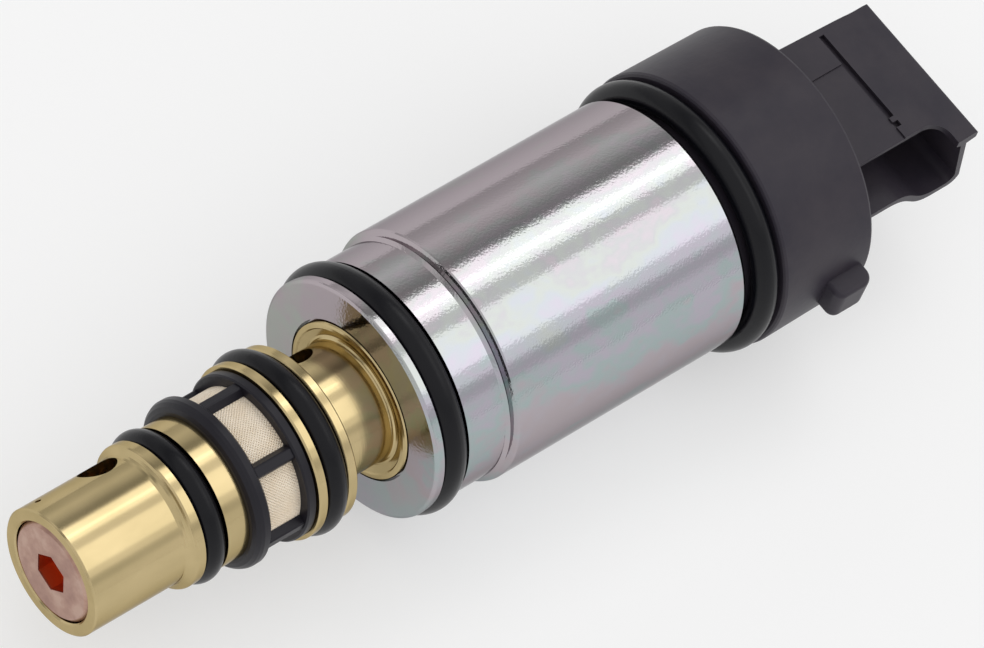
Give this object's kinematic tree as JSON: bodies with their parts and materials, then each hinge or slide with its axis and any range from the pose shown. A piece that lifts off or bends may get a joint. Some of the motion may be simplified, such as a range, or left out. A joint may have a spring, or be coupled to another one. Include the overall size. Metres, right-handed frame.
{
  "type": "compressor control valve",
  "caption": "Solenoid control valve for a refrigerant compressor: ported brass body with filter and seals, plated steel can, and a moulded head with a side-entry plug socket.",
  "frame": {"origin": "on the valve's axis, at the front shoulder of the solenoid can, where its straight barrel begins", "axes": "+X along the valve's axis, from the brass nose towards the plug socket; -Y the way the plug leaves its socket; +Z out of the socket's flat face"},
  "size_m": [0.1013, 0.0294, 0.0274],
  "materials": {
    "body_brass": "turned, satin",
    "plug_copper": "dull pink-brown, slightly stained",
    "bellows_bronze": "thin bright metal",
    "spring_steel": "bright drawn wire",
    "rod_steel": "ground",
    "filter_plastic": "satin moulded",
    "filter_weave": "fine weave",
    "seal_rubber": "oiled, soft sheen",
    "plated_steel": "bright zinc plating with a faint rainbow tint",
    "core_steel": "turned",
    "sleeve_steel": "drawn, bright",
    "coil_plastic": "moulded",
    "coil_copper": "enamelled wire",
    "head_plastic": "glass-filled, satin, faintly mottled",
    "terminal_brass": "plated blade"
  },
  "bodies": {
    "housing": {"valve_body": "body_brass", "adjusting_plug": "plug_copper", "bellows_base": "body_brass", "bellows": "bellows_bronze", "bellows_spring": "spring_steel", "opening_spring": "spring_steel", "filter_frame": "filter_plastic", "filter_mesh": "filter_weave", "front_o_ring": "seal_rubber", "middle_o_ring": "seal_rubber", "front_flange": "plated_steel", "flange_o_ring": "seal_rubber", "solenoid_can": "plated_steel", "fixed_core": "core_steel", "plunger_spring": "spring_steel", "plunger_sleeve": "sleeve_steel", "coil_bobbin": "coil_plastic", "coil_winding": "coil_copper", "flux_washer": "core_steel", "sleeve_seal": "seal_rubber", "head_o_ring": "seal_rubber", "connector_head": "head_plastic", "near_terminal": "terminal_brass", "far_terminal": "terminal_brass"},
    "valve_stem": {"valve_rod": "rod_steel", "plunger": "core_steel", "bellows_end_cap": "body_brass"}
  },
  "joints": [
    {"name": "valve_stroke", "type": "slide", "parent": "housing", "child": "valve_stem", "axis": [-1, 0, 0], "range_m": [0, 0.0008], "stiffness_N_per_m": 800, "deforming": ["bellows", "bellows_spring", "opening_spring", "plunger_spring"]}
  ]
}
